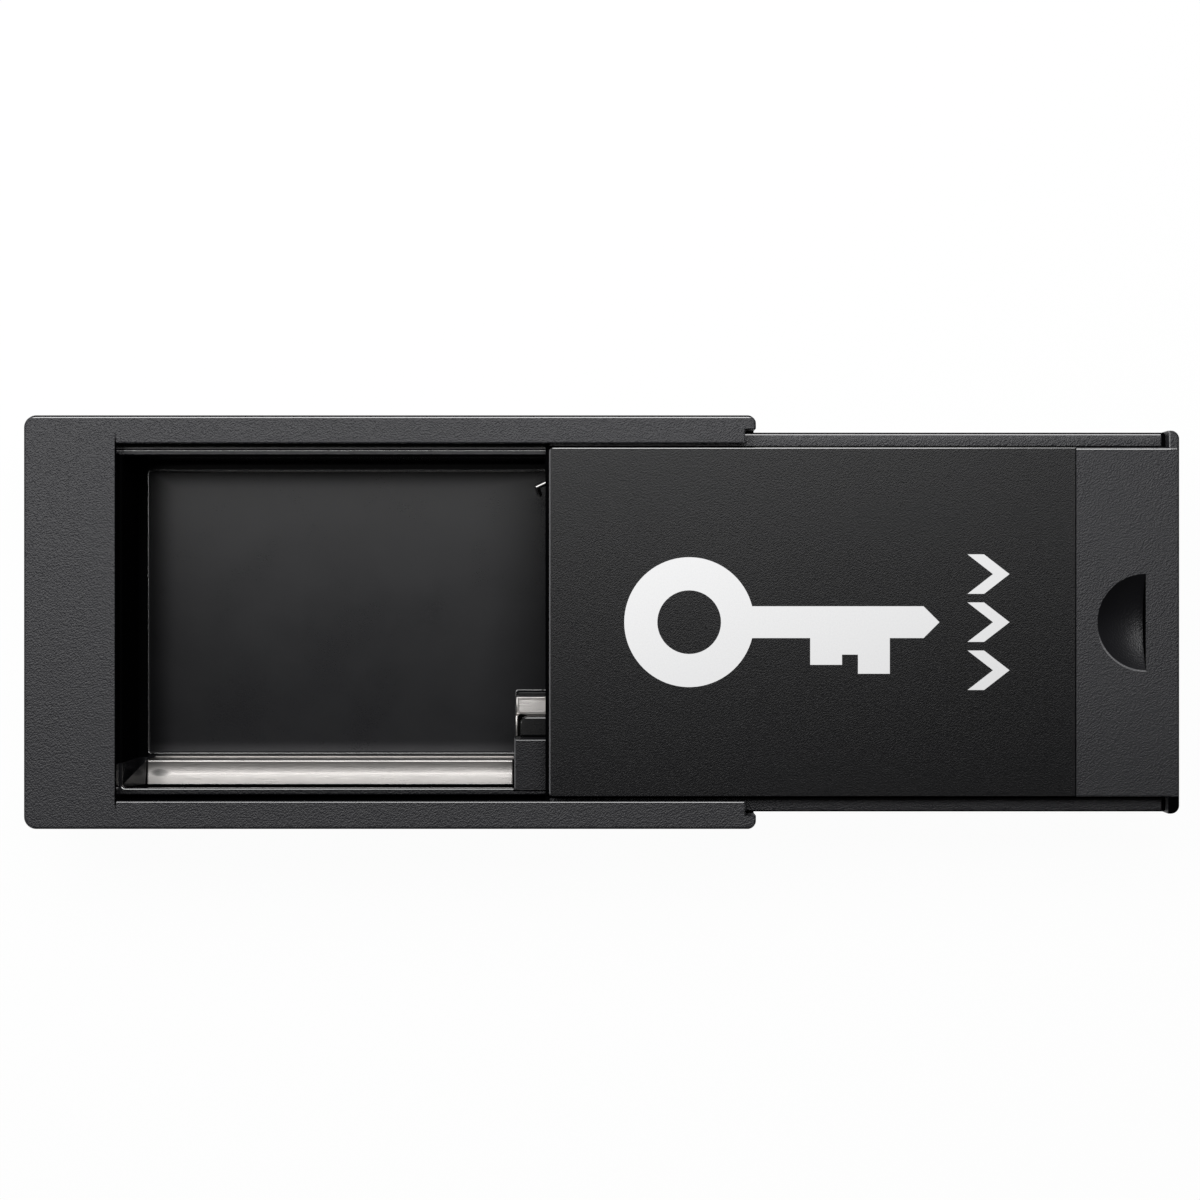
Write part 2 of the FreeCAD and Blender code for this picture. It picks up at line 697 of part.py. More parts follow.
def make_slide_rail(side):
    """Rail under one edge of the lid, with a channel for the stop pin and a groove by the lid's top."""
    tongue_x = flange_x - rail_tongue_gap
    rail = block(lip_x, tongue_x, *sorted((side * rail_inner, side * rail_half)), lid_under, rail_top)
    rail = rail.makeFillet(rail_end_radius, upright_edges(rail, tongue_x, side * rail_half))
    step_z = rail_top - rail_step
    rail = rail.cut(block(rail_end_x, flange_x, -half_width, half_width, step_z, rail_top + overshoot))
    rows = sorted((side * (lid_half - rail_groove), side * (lid_half + rail_groove)))
    rail = rail.cut(block(lip_x - overshoot, flange_x, *rows, step_z, rail_top + overshoot))
    reach = pin_radius + pin_gap
    rows = sorted((side * (pin_row - reach), side * (pin_row + reach)))
    rail = rail.cut(block(pin_x - reach, pin_x + lid_travel + reach, *rows, lid_under - overshoot,
                          pin_top + rail_top_gap))
    for x, y in rail_screw_places:
        if y * side > 0:
            rail = rail.cut(flat_screw_hole(vec(x, y, lid_under), small_shank_radius, small_head_radius,
                                            small_head_height, small_screw_length))
    return rail.removeSplitter()


def make_rail_screws():
    """Countersunk screws that hold the rails under the lid."""
    screws = []
    for x, y in rail_screw_places:
        screws.append(flat_screw(vec(x, y, lid_under), small_shank_radius, small_head_radius,
                                 small_head_height, small_screw_length))
    return Part.makeCompound(screws)


nodes = {
    "casing": make_casing(),
    "back_cover": make_back_cover(),
    "back_cover_screws": make_cover_screws(),
    "back_pad": make_back_pad(),
    "left_upper_magnet": make_magnet(left_chamber_x, 1),
    "left_lower_magnet": make_magnet(left_chamber_x, -1),
    "right_upper_magnet": make_magnet(right_chamber_x, 1),
    "right_lower_magnet": make_magnet(right_chamber_x, -1),
    "left_keeper_plate": make_keeper(left_chamber_x),
    "right_keeper_plate": make_keeper(right_chamber_x),
    "floor_liner": make_floor_liner(),
    "key_rail": make_key_rail(),
    "magnet_carrier": make_magnet_carrier(),
    "carrier_screw": make_carrier_screw(),
    "retaining_magnet": make_retaining_magnet(),
    "magnet_pole_plate": make_pole_plate(),
    "bumper_pad": make_bumper(),
    "detent_wire": make_detent_wire(),
    "detent_screw": make_detent_screw(),
    "upper_stop_pin": make_stop_pin(1),
    "lower_stop_pin": make_stop_pin(-1),
    "lid_carrier": make_lid_carrier(),
    "lid_panel": make_lid_panel(),
    "upper_slide_rail": make_slide_rail(1),
    "lower_slide_rail": make_slide_rail(-1),
    "rail_screws": make_rail_screws(),
}

os.makedirs("parts", exist_ok=True)
for name, shape in nodes.items():
    shape.exportStep("parts/" + name + ".step")
    print(name, len(shape.Solids), "solids, valid", shape.isValid(), "volume", round(shape.Volume, 2))
print("lid travel", round(lid_travel, 3))
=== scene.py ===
import bmesh
import bpy
import math
from mathutils import Matrix, Vector


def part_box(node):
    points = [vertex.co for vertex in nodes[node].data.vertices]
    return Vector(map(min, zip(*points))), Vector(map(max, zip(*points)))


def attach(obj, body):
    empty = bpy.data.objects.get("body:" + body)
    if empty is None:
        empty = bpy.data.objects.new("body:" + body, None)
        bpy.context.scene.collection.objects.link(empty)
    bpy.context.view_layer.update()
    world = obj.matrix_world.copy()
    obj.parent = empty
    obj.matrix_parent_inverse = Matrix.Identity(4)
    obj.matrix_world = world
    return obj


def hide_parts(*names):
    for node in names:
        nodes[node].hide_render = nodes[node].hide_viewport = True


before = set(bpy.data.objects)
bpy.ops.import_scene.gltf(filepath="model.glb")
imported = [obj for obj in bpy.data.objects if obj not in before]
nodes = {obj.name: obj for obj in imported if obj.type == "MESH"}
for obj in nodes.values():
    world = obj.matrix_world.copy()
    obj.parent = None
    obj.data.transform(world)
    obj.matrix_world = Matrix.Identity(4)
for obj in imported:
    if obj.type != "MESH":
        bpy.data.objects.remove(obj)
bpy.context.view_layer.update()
mm = 0.001

# ---- Casing ----
# The moulded black plastic box. Its outside has a fine leather-like grain from the mould. Its
# inside is smooth and a little glossy, and its edges are rounded and polished. It is one moulding.


class Shade:
    """A value in a material's tree. Arithmetic on it adds Math nodes."""

    def __init__(self, tree, socket=None):
        self.tree = tree
        self.socket = socket

    def fill(self, node, sockets):
        """Sets a node's sockets to numbers, colours or links."""
        for name, value in sockets.items():
            if isinstance(value, Shade):
                self.tree.links.new(value.socket, node.inputs[name])
            else:
                node.inputs[name].default_value = value

    def node(self, kind, settings, sockets, output=0):
        """Adds a node, sets it and fills its sockets, and gives one of its outputs."""
        made = self.tree.nodes.new(kind)
        for name, value in settings.items():
            setattr(made, name, value)
        self.fill(made, sockets)
        return Shade(self.tree, made.outputs[output])

    def math(self, operation, first, second=0.0):
        return self.node("ShaderNodeMath", {"operation": operation}, {0: first, 1: second})

    def __add__(self, other):
        return self.math("ADD", self, other)

    def __radd__(self, other):
        return self.math("ADD", other, self)

    def __sub__(self, other):
        return self.math("SUBTRACT", self, other)

    def __rsub__(self, other):
        return self.math("SUBTRACT", other, self)

    def __mul__(self, other):
        return self.math("MULTIPLY", self, other)

    def __rmul__(self, other):
        return self.math("MULTIPLY", other, self)

    def __abs__(self):
        return self.math("ABSOLUTE", self)

    def most(self, other):
        """The larger of the two values."""
        return self.math("MAXIMUM", self, other)

    def step(self, low, high):
        """0 up to low and 1 from high on, with a soft turn between."""
        settings = {"interpolation_type": "SMOOTHSTEP"}
        return self.node("ShaderNodeMapRange", settings, {"Value": self, "From Min": low, "From Max": high})

    def within(self, low, high, soft=0.02 * mm):
        """1 between low and high, and 0 outside them."""
        return self.step(low - soft, low) * (1 - self.step(high, high + soft))

    def mix(self, low, high):
        """Colour low where this value is 0 and high where it is 1."""
        return self.node("ShaderNodeMix", {"data_type": "RGBA"}, {0: self, 6: low, 7: high}, 2)

    def place(self):
        """The point on the piece, in metres in the box's own frame."""
        return self.node("ShaderNodeTexCoord", {}, {}, "Object")

    def axes(self):
        """X, Y and Z of the point."""
        split = self.tree.nodes.new("ShaderNodeSeparateXYZ")
        self.fill(split, {0: self.place()})
        return [Shade(self.tree, output) for output in split.outputs]

    def stretched(self, scale, turn=0.0):
        """The point, for a pattern drawn out by a factor along each axis and turned about Z."""
        sockets = {"Vector": self.place(), "Rotation": (0, 0, turn), "Scale": scale}
        return self.node("ShaderNodeMapping", {"vector_type": "TEXTURE"}, sockets)

    def noise(self, size, detail=2.0, rough=0.5, at=None):
        """Soft random pattern with lumps of the given size in metres."""
        sockets = {"Vector": at or self.place(), "Scale": 1 / size, "Detail": detail, "Roughness": rough}
        return self.node("ShaderNodeTexNoise", {}, sockets)

    def pebbles(self, size, at=None):
        """Rounded cells of the given size in metres, 0 at the middle of each."""
        sockets = {"Vector": at or self.place(), "Scale": 1 / size, "Smoothness": 0.4, "Randomness": 0.75}
        return self.node("ShaderNodeTexVoronoi", {"feature": "SMOOTH_F1"}, sockets)

    def bump(self, height, depth):
        """Surface normal of a relief, its height from 0 to 1 and its depth in metres."""
        return self.node("ShaderNodeBump", {}, {"Height": height, "Distance": depth})


def new_finish(name, make):
    """A material whose shader takes the sockets that make(shade) gives; its last socket mixes it into dull
    black, as plain dullness or as painted shade.
    """
    material = bpy.data.materials.new(name)
    material.use_nodes = True
    made = material.node_tree.nodes
    shade = Shade(material.node_tree)
    sockets = make(shade)
    # The last socket mixes the surface into dull black: plain dullness on rubber, painted shade on the other
    # finishes.
    dull_and_painted_shade = sockets.pop("Soot", None)
    shade.fill(made["Principled BSDF"], sockets)
    if dull_and_painted_shade is not None:
        clean = Shade(material.node_tree, made["Principled BSDF"].outputs[0])
        black = shade.node("ShaderNodeBsdfDiffuse", {}, {"Color": darkest_black})
        surface = shade.node("ShaderNodeMixShader", {}, {0: dull_and_painted_shade, 1: clean, 2: black})
        shade.fill(made["Material Output"], {"Surface": surface})
    return material


def dress(node, finish):
    """Gives a CAD node its finish."""
    for material_slot in nodes[node].material_slots:
        material_slot.material = finish


grained_black = (0.0147, 0.0147, 0.0176, 1)
darkest_black = (0.0015, 0.0015, 0.0017, 1)
painted_highlight_grey = (0.13, 0.13, 0.135, 1)
grain_size = 0.2 * mm
grain_stretch = (1.7, 1.0, 1.0)
grain_turn = math.radians(38)
grain_depth = 0.13 * mm
fine_size = 0.12 * mm
cloud_size = 18 * mm
edge_polish = 0.35
polish_ior = 4.0


def moulded_plastic(shade, smooth, polished, painted_shade):
    """Black plastic with the mould's grain, except where it is smooth or polished; it turns dull black where
    shade is painted.
    """
    slanted = shade.stretched(grain_stretch, grain_turn)
    relief = shade.pebbles(grain_size, slanted) * 0.8 + shade.noise(fine_size) * 0.3
    fine = shade.noise(fine_size)
    cloudy = shade.noise(cloud_size)
    grained = (1 - smooth) * (1 - polished)
    darker = (cloudy - 0.5) * 0.2 * grained + smooth * 0.67
    return {
        "Base Color": darker.mix(grained_black, darkest_black),
        "Roughness": 0.17 + grained * (0.27 + (relief - 0.5) * 0.14) + fine * 0.05,
        "Coat Weight": polished * edge_polish,
        "Coat Roughness": 0.12,
        "Coat IOR": polish_ior,
        "Normal": shade.bump(relief * grained + fine * 0.01, grain_depth),
        # Painted shade: dull black wherever the caller paints it.
        "Soot": painted_shade,
    }


box_low, box_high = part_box("casing")
end_width = 14.5 * mm
rim_width = 4.4 * mm
groove_wall = 2.3 * mm
bay_wall = 6.25 * mm
bar_gap = 0.7 * mm
ledge_z = 20.35 * mm
rounding = 0.42 * mm
steep_part = 0.22 * mm
rounded_depth = 0.45 * mm
rim_skin = 0.2 * mm
rim_edge = 0.24 * mm
end_edge_width = 0.22 * mm
bar_inner_edge = 0.26 * mm
bar_outer_edge = 0.28 * mm
bar_edge_depth = 0.31 * mm
bar_shade_width = 0.3 * mm
bar_shade_from_z = 19.0 * mm
bar_shade_to_z = 19.5 * mm
lower_wall_top_z = 19.8 * mm
corner_web_y = -22.3 * mm
side_blend = 1 * mm
soft_edge = 0.05 * mm
liner_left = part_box("floor_liner")[0].x
opening_left = box_low.x + end_width
opening_half = box_high.y - rim_width
groove_half = box_high.y - groove_wall
bay_half = box_high.y - bay_wall
bar_half = opening_half - bar_gap


def casing_sockets(shade):
    x, y, z = shade.axes()
    off_middle = abs(y)
    edge = soft_edge
    in_length = x.within(opening_left, box_high.x - 2 * edge, edge)
    in_width = 1 - off_middle.step(groove_half - edge, groove_half + 2 * edge)
    under_top = 1 - z.step(box_high.z - rim_skin - 2 * edge, box_high.z - rim_skin)
    at_ledge = z.within(ledge_z - edge, ledge_z + edge)
    bar_top = at_ledge * off_middle.within(bay_half, bar_half) * in_length
    inside = in_length * in_width * under_top * (1 - bar_top)
    at_top = z.step(box_high.z - rounded_depth - edge, box_high.z - rounded_depth)
    upper_edge = y.within(box_high.y - rounding, box_high.y - steep_part)
    lower_rim = y.within(-opening_half - rim_edge, -opening_half + edge) * in_length
    top_edges = at_top * upper_edge.most(lower_rim)
    bar_edges = y.within(-bay_half - bar_inner_edge, edge - bay_half)
    bar_edges = bar_edges.most(y.within(bar_half - bar_outer_edge, bar_half + edge))
    at_bar = z.within(ledge_z - bar_edge_depth, ledge_z + edge) * in_length
    steep = (abs(x) - (box_high.x - steep_part)).most(off_middle - (box_high.y - steep_part))
    end_edge = x.within(opening_left - end_edge_width, opening_left + edge)
    end_edge = end_edge * (1 - off_middle.step(opening_half, groove_half))
    end_wall = x.within(opening_left, liner_left) * y.within(corner_web_y, bay_half) * under_top
    by_lower_wall = 1 - y.step(-bay_half, 2 * edge - bay_half)
    lower_wall = by_lower_wall * (1 - z.step(lower_wall_top_z, lower_wall_top_z + 2 * edge)) * inside
    bar_shade = y.within(bay_half - edge, bay_half + bar_shade_width)
    shaded_bar = bar_shade * z.step(bar_shade_from_z, bar_shade_to_z) * inside.most(bar_top)
    upper_bar = bar_top * y.step(-side_blend, side_blend)
    lower_bar = (bar_top - upper_bar) * 0.55
    # Painted shade: dull black on the steep outer edges, the opening's left edge, the left end wall, the
    # lower wall, the inner strip of the upper ledge bar and the lower ledge bar.
    painted_shade = (at_top * steep.step(0, 0.04 * mm).most(end_edge)).most(end_wall).most(lower_wall)
    painted_shade = painted_shade.most(shaded_bar).most(lower_bar)
    sockets = moulded_plastic(shade, inside, top_edges.most(bar_edges * at_bar), painted_shade)
    sockets["Coat Weight"] = top_edges * edge_polish + bar_edges * at_bar + upper_bar * 0.02
    sockets["Roughness"] = sockets["Roughness"] - bar_top * 0.1
    return sockets


dress("casing", new_finish("grained black plastic", casing_sockets))

# ---- Back cover, its screws and the pad ----
# A flat moulded plate closes the magnet chambers from behind. Six black countersunk screws hold
# it, and a rubber pad is glued on it, so that the box grips steel without scratching it.


cover_inner_z = 1.9 * mm


def cover_sockets(shade):
    height = shade.axes()[2]
    return moulded_plastic(shade, height.step(cover_inner_z, cover_inner_z + soft_edge), 0.0, 0.0)


def rubber_sockets(shade):
    speck = shade.noise(0.25 * mm, 4.0, 0.7)
    return {
        "Base Color": speck.mix((0.003, 0.003, 0.0033, 1), (0.006, 0.006, 0.0063, 1)),
        "Roughness": 0.45 + speck * 0.14,
        "Normal": shade.bump(speck, 0.06 * mm),
        "Soot": 0.55,
    }


def screw_steel_sockets(shade):
    mottle = shade.noise(0.5 * mm, 3.0)
    return {
        "Base Color": mottle.mix((0.025, 0.025, 0.027, 1), (0.06, 0.06, 0.062, 1)),
        "Metallic": 1.0,
        "Roughness": 0.35 + mottle * 0.2,
        "Normal": shade.bump(mottle, 0.03 * mm),
    }


screw_steel = new_finish("black screw steel", screw_steel_sockets)
dress("back_cover", new_finish("grained black cover", cover_sockets))
dress("back_cover_screws", screw_steel)
dress("back_pad", new_finish("black rubber", rubber_sockets))

# ---- Magnets and keeper plates ----
# Two nickel-plated block magnets lie at each end, and a zinc-plated steel keeper plate behind each
# pair turns their pull to the back of the box.


def magnet_sockets(shade):
    mottle = shade.noise(0.8 * mm, 4.0)
    return {
        "Base Color": mottle.mix((0.5, 0.49, 0.46, 1), (0.62, 0.6, 0.57, 1)),
        "Metallic": 1.0,
        "Roughness": 0.16 + mottle * 0.14,
        "Normal": shade.bump(mottle, 0.02 * mm),
    }


def zinc_sockets(shade):
    spangle = shade.pebbles(1.4 * mm)
    fine = shade.noise(0.2 * mm, 3.0)
    return {
        "Base Color": spangle.mix((0.42, 0.44, 0.46, 1), (0.55, 0.57, 0.58, 1)),
        "Metallic": 1.0,
        "Roughness": 0.28 + fine * 0.2,
        "Normal": shade.bump(fine, 0.02 * mm),
    }


magnet_nickel = new_finish("magnet nickel", magnet_sockets)
zinc_steel = new_finish("zinc steel", zinc_sockets)
for end in ("left", "right"):
    dress(end + "_upper_magnet", magnet_nickel)
    dress(end + "_lower_magnet", magnet_nickel)
    dress(end + "_keeper_plate", zinc_steel)

# ---- Floor liner ----
# A thin satin sheet on the compartment's floor, so that the keys don't rattle. It is cut out round
# the magnet carrier and the detent's post, and its edge is turned up into a fine polished bead.


def shaped(corners, low, high):
    """A slab with the given outline, seen from above, between two heights."""
    mesh = bmesh.new()
    outline = [mesh.verts.new((x, y, low)) for x, y in corners]
    base = mesh.faces.new(outline)
    raised = bmesh.ops.extrude_face_region(mesh, geom=[base])["geom"]
    moved = [item for item in raised if isinstance(item, bmesh.types.BMVert)]
    bmesh.ops.translate(mesh, vec=(0, 0, high - low), verts=moved)
    bmesh.ops.recalc_face_normals(mesh, faces=mesh.faces)
    return mesh


def block(low, high):
    """A box between two opposite corners."""
    (x0, y0, z0), (x1, y1, z1) = low, high
    return shaped([(x0, y0), (x1, y0), (x1, y1), (x0, y1)], z0, z1)


def is_upright(edge):
    start, end = (vert.co for vert in edge.verts)
    return (start - end).xy.length < 0.001 * mm


def is_level(edge, height):
    return all(abs(vert.co.z - height) < 0.001 * mm for vert in edge.verts)


def round_edges(mesh, edges, width, segments):
    bmesh.ops.bevel(mesh, geom=edges, offset=width, segments=segments, profile=0.5, affect="EDGES",
                    material=-1, clamp_overlap=True)


def add_piece(name, mesh, finish, body, material_slot, *stood_for):
    """Makes an object of the mesh, on its body and in place of its CAD nodes."""
    bmesh.ops.remove_doubles(mesh, verts=mesh.verts, dist=0.0005 * mm)
    bmesh.ops.recalc_face_normals(mesh, faces=mesh.faces)
    data = bpy.data.meshes.new(name)
    mesh.to_mesh(data)
    mesh.free()
    data.materials.append(finish)
    data.shade_smooth()
    data.set_sharp_from_angle(angle=math.radians(40))
    piece = bpy.data.objects.new(name, data)
    bpy.context.scene.collection.objects.link(piece)
    even = piece.modifiers.new("even shading", "WEIGHTED_NORMAL")
    even.keep_sharp = True
    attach(piece, body)
    if stood_for:
        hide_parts(*stood_for)


liner_low, liner_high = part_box("floor_liner")
liner_top = liner_low.z + 0.3 * mm
liner_lower = liner_low.y - 0.3 * mm
liner_corner = 0.4 * mm
painted_light_near = 0.4 * mm
painted_light_far = 2.2 * mm
left_shade_width = 5 * mm
right_shade_from_x = 12 * mm
right_shade_to_x = 26 * mm
upper_shade_from_y = 21.5 * mm
upper_shade_to_y = 25 * mm


def liner_sockets(shade):
    x, y, z = shade.axes()
    haze = shade.noise(9 * mm, 3.0)
    fine = shade.noise(0.16 * mm, 2.0)
    bead = z.step(liner_top + 0.02 * mm, liner_top + 0.05 * mm)
    # Painted light: the sheet is lighter along its lower edge, beside the key rail.
    painted_light = (1 - y.step(liner_lower + painted_light_near, liner_lower + painted_light_far)) * (1 - bead)
    # Painted shade: dull black towards the left end, under the lid's edge and along the upper wall.
    painted_left_shade = 1 - x.step(liner_low.x, liner_low.x + left_shade_width)
    painted_floor_shade = painted_left_shade.most(x.step(right_shade_from_x, right_shade_to_x) * 0.6)
    painted_floor_shade = painted_floor_shade.most(y.step(upper_shade_from_y, upper_shade_to_y)) * (1 - bead)
    return {
        "Base Color": (haze * 0.2 + painted_light * 0.8).mix((0.0052, 0.0053, 0.0064, 1), (0.03, 0.03, 0.032, 1)),
        "Roughness": 0.23 + haze * 0.06 + fine * 0.06 - bead * 0.12,
        "Specular IOR Level": 0.38,
        "Coat Weight": bead,
        "Coat Roughness": 0.25,
        "Coat IOR": polish_ior,
        "Normal": shade.bump(fine, 0.006 * mm),
        "Soot": painted_floor_shade * 0.7,
    }


liner_black = new_finish("satin black liner", liner_sockets)
carrier_low, carrier_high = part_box("magnet_carrier")
bead_width = 0.35 * mm
bead_rounding = 0.16 * mm
cut_gap = 0.15 * mm
post_half = 2.5 * mm
post_reach = 6.35 * mm
screw_low, screw_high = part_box("detent_screw")
post_x = (screw_low.x + screw_high.x) / 2
cut_x = carrier_low.x - cut_gap
cut_y = carrier_high.y + cut_gap
post_y = bay_half - post_reach - cut_gap
liner_outline = [
    (liner_low.x, liner_lower),
    (cut_x, liner_lower),
    (cut_x, cut_y),
    (liner_high.x, cut_y),
    (liner_high.x, liner_high.y),
    (post_x + post_half + cut_gap, liner_high.y),
    (post_x + post_half + cut_gap, post_y),
    (post_x - post_half - cut_gap, post_y),
    (post_x - post_half - cut_gap, liner_high.y),
    (liner_low.x, liner_high.y),
]
liner = shaped(liner_outline, liner_low.z, liner_high.z)
round_edges(liner, [edge for edge in liner.edges if is_upright(edge)], liner_corner, 4)
top_faces = [face for face in liner.faces if face.normal.z > 0.99]
bmesh.ops.inset_region(liner, faces=top_faces, thickness=bead_width, use_even_offset=True)
bmesh.ops.translate(liner, vec=(0, 0, liner_top - liner_high.z),
                    verts=[vert for face in top_faces for vert in face.verts])
round_edges(liner, [edge for edge in liner.edges if is_level(edge, liner_high.z)], bead_rounding, 5)
add_piece("liner_sheet", liner, liner_black, "box", "smooth_black_plastic", "floor_liner")

# ---- Key rail ----
# A rolled strip of nickel-plated steel along the lower wall: a foot on the floor, an upright
# front, and a slightly hollow top with a crease. Its brush marks run along it.
rail_low, rail_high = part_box("key_rail")
rail_sheet = 0.45 * mm
rail_foot = 0.2 * mm
rail_front_y = rail_high.y - rail_foot
rail_bend = 0.24 * mm
rail_crease_y = rail_low.y + 1.65 * mm
rail_back_y = rail_low.y
rail_hollow_y = rail_front_y - 1.2 * mm
dark_patch_middle = (-38.0 * mm, -24.4 * mm)
dark_patch_half_length = 1.6 * mm
dark_patch_half_width = 0.6 * mm


def nickel_sockets(shade):
    x, y, _ = shade.axes()
    brushed = shade.noise(0.1 * mm, 3.0, 0.6, shade.stretched((60.0, 1.0, 1.0)))
    haze = shade.noise(4 * mm, 3.0)
    left_end = 1 - x.step(rail_low.x + 1.5 * mm, rail_low.x + 3.5 * mm)
    along = (x - dark_patch_middle[0]) * (1 / dark_patch_half_length)
    across = (y - dark_patch_middle[1]) * (1 / dark_patch_half_width)
    dark_patch = 1 - (along * along + across * across).step(0.1, 1.5)
    # Painted shade: the strip darkens towards its left end by the wall. It also darkens in one oval patch and
    # in random haze.
    tone_and_shade = haze * 0.25 + left_end * 0.3 + dark_patch * 0.6
    return {
        "Base Color": tone_and_shade.mix((0.61, 0.585, 0.565, 1), (0.12, 0.118, 0.115, 1)),
        "Metallic": 1.0,
        "Roughness": 0.2 + brushed * 0.16 + haze * 0.04,
        "Normal": shade.bump(brushed, 0.006 * mm),
    }


nickel = new_finish("brushed nickel", nickel_sockets)
front_top = 11.2 * mm
foot_gap = 0.03 * mm
crease_half = 0.08 * mm
bend_steps = 4
profile = [
    (rail_high.y, rail_low.z + rail_sheet),
    (rail_front_y + foot_gap, rail_low.z + rail_sheet),
]
for index in range(bend_steps + 1):
    turn = math.pi / 2 * index / bend_steps
    profile.append((rail_front_y - rail_bend + rail_bend * math.cos(turn),
                    front_top - rail_bend + rail_bend * math.sin(turn)))


def slope_on(profile, end_y, start_tilt, end_tilt, steps):
    """Carries a profile on towards the wall, its tilt in degrees changing evenly."""
    y, z = profile[-1]
    width = (y - end_y) / steps
    for index in range(steps):
        tilt = start_tilt + (end_tilt - start_tilt) * (index + 0.5) / steps
        y -= width
        z += math.tan(math.radians(tilt)) * width
        profile.append((y, z))


slope_on(profile, rail_hollow_y, -4.0, 1.9, 5)
slope_on(profile, rail_crease_y + crease_half, 2.9, 7.4, 5)
slope_on(profile, rail_crease_y - crease_half, 9.0, 9.0, 1)
slope_on(profile, rail_back_y, 7.2, 5.6, 4)
rail_ends = [(0.0, 0.16 * mm), (0.03 * mm, 0.09 * mm), (0.08 * mm, 0.04 * mm), (0.15 * mm, 0.01 * mm),
             (0.25 * mm, 0.0)]
stations = [(rail_low.x + along, drop) for along, drop in rail_ends]
stations += [(rail_high.x - along, drop) for along, drop in reversed(rail_ends)]
rail = bmesh.new()
rows = [[rail.verts.new((x, y, z - drop)) for y, z in profile] for x, drop in stations]
for row, next_row in zip(rows, rows[1:]):
    for corners in zip(row, row[1:], next_row[1:], next_row):
        rail.faces.new(corners)
bmesh.ops.recalc_face_normals(rail, faces=rail.faces)
if max(rail.faces, key=lambda face: face.calc_center_median().z).normal.z < 0:
    bmesh.ops.reverse_faces(rail, faces=rail.faces)
bmesh.ops.solidify(rail, geom=rail.faces, thickness=rail_sheet)
add_piece("key_rail_strip", rail, nickel, "box", "nickel_steel", "key_rail")

# ---- Magnet carrier and its screw ----
# A black plastic block, moulded in one with a seat for the retaining magnet. One black screw holds
# it down beside the lower wall.
carrier_block_y = -18.5 * mm
carrier_edge_depth = 0.35 * mm
carrier_inner_edge = 0.29 * mm
seat_rim_low_z = 4.65 * mm
seat_rim_high_z = 5.55 * mm
seat_rim_y = -12.2 * mm
carrier_grain_z = 6.0 * mm
painted_highlight_from = 0.1 * mm
painted_highlight_to = 0.3 * mm


def carrier_sockets(shade):
    x, y, z = shade.axes()
    edge_z = carrier_high.z - carrier_edge_depth
    edge_y = carrier_block_y - carrier_inner_edge
    at_top = z.step(edge_z - 0.02 * mm, edge_z)
    inner_edge = at_top * y.step(edge_y - 0.04 * mm, edge_y)
    low_rim = z.within(seat_rim_low_z, seat_rim_high_z) * y.step(seat_rim_y, seat_rim_y + soft_edge)
    # Painted highlight: lighter grey lines along the left and lower edges of the top.
    painted_light = 1 - x.step(carrier_low.x + painted_highlight_from, carrier_low.x + painted_highlight_to)
    painted_light = painted_light.most(1 - y.step(carrier_low.y + painted_highlight_from, carrier_low.y + painted_highlight_to)) * at_top
    smooth = 1 - z.step(carrier_grain_z, carrier_grain_z + 2 * soft_edge)
    # Painted shade: the whole block is half dull black, except on its painted highlight lines.
    sockets = moulded_plastic(shade, smooth, inner_edge.most(low_rim), 0.5 - painted_light * 0.5)
    sockets["Base Color"] = painted_light.mix(sockets["Base Color"], painted_highlight_grey)
    return sockets


dress("magnet_carrier", new_finish("grained black carrier", carrier_sockets))
dress("carrier_screw", screw_steel)

# ---- Retaining magnet, pole plate and bumper ----
# A bar magnet holds the keys by their steel ring. A bright dished plate covers it, and its turned
# end also closes a rubber bumper.
dress("retaining_magnet", magnet_nickel)
plate_low, plate_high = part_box("magnet_pole_plate")
magnet_low, magnet_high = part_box("retaining_magnet")
plate_sheet = 0.35 * mm
cap_top = magnet_high.z + plate_sheet
cap_tilt = 0.13 * mm
cap_rim = 0.4 * mm
cap_step = 0.05 * mm
cap_dish = 0.06 * mm
cap_rounding = 0.14 * mm
end_rounding = 0.12 * mm
cap = block((plate_low.x, magnet_low.y, magnet_high.z), (plate_high.x, magnet_high.y, cap_top + cap_tilt))
for vert in cap.verts:
    if vert.co.z > cap_top and vert.co.y > magnet_high.y - 0.1 * mm:
        vert.co.z = cap_top
cap_face = max(cap.faces, key=lambda face: face.calc_center_median().z)
rim_edges = list(cap_face.edges)
bmesh.ops.inset_region(cap, faces=[cap_face], thickness=cap_rim, use_even_offset=True)
bmesh.ops.inset_region(cap, faces=[cap_face], thickness=cap_step, depth=-cap_dish, use_even_offset=True)
round_edges(cap, rim_edges, cap_rounding, 3)
end_x = plate_low.x + plate_sheet
for low, high in (
    ((plate_low.x, magnet_low.y, plate_low.z), (end_x, magnet_high.y, magnet_high.z)),
    ((plate_low.x, plate_low.y, plate_low.z), (end_x, magnet_low.y, plate_high.z)),
):
    end_plate = block(low, high)
    top_edges = [edge for edge in end_plate.edges if is_level(edge, plate_high.z)]
    round_edges(end_plate, top_edges, end_rounding, 3)
    end_mesh = bpy.data.meshes.new("end plate")
    end_plate.to_mesh(end_mesh)
    end_plate.free()
    cap.from_mesh(end_mesh)
    bpy.data.meshes.remove(end_mesh)
add_piece("pole_plate_sheet", cap, nickel, "box", "nickel_steel", "magnet_pole_plate")

bumper_low, bumper_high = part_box("bumper_pad")
bumper_corner = 1.3 * mm
bumper_rounding = 0.35 * mm
bumper_rub = 0.3 * mm


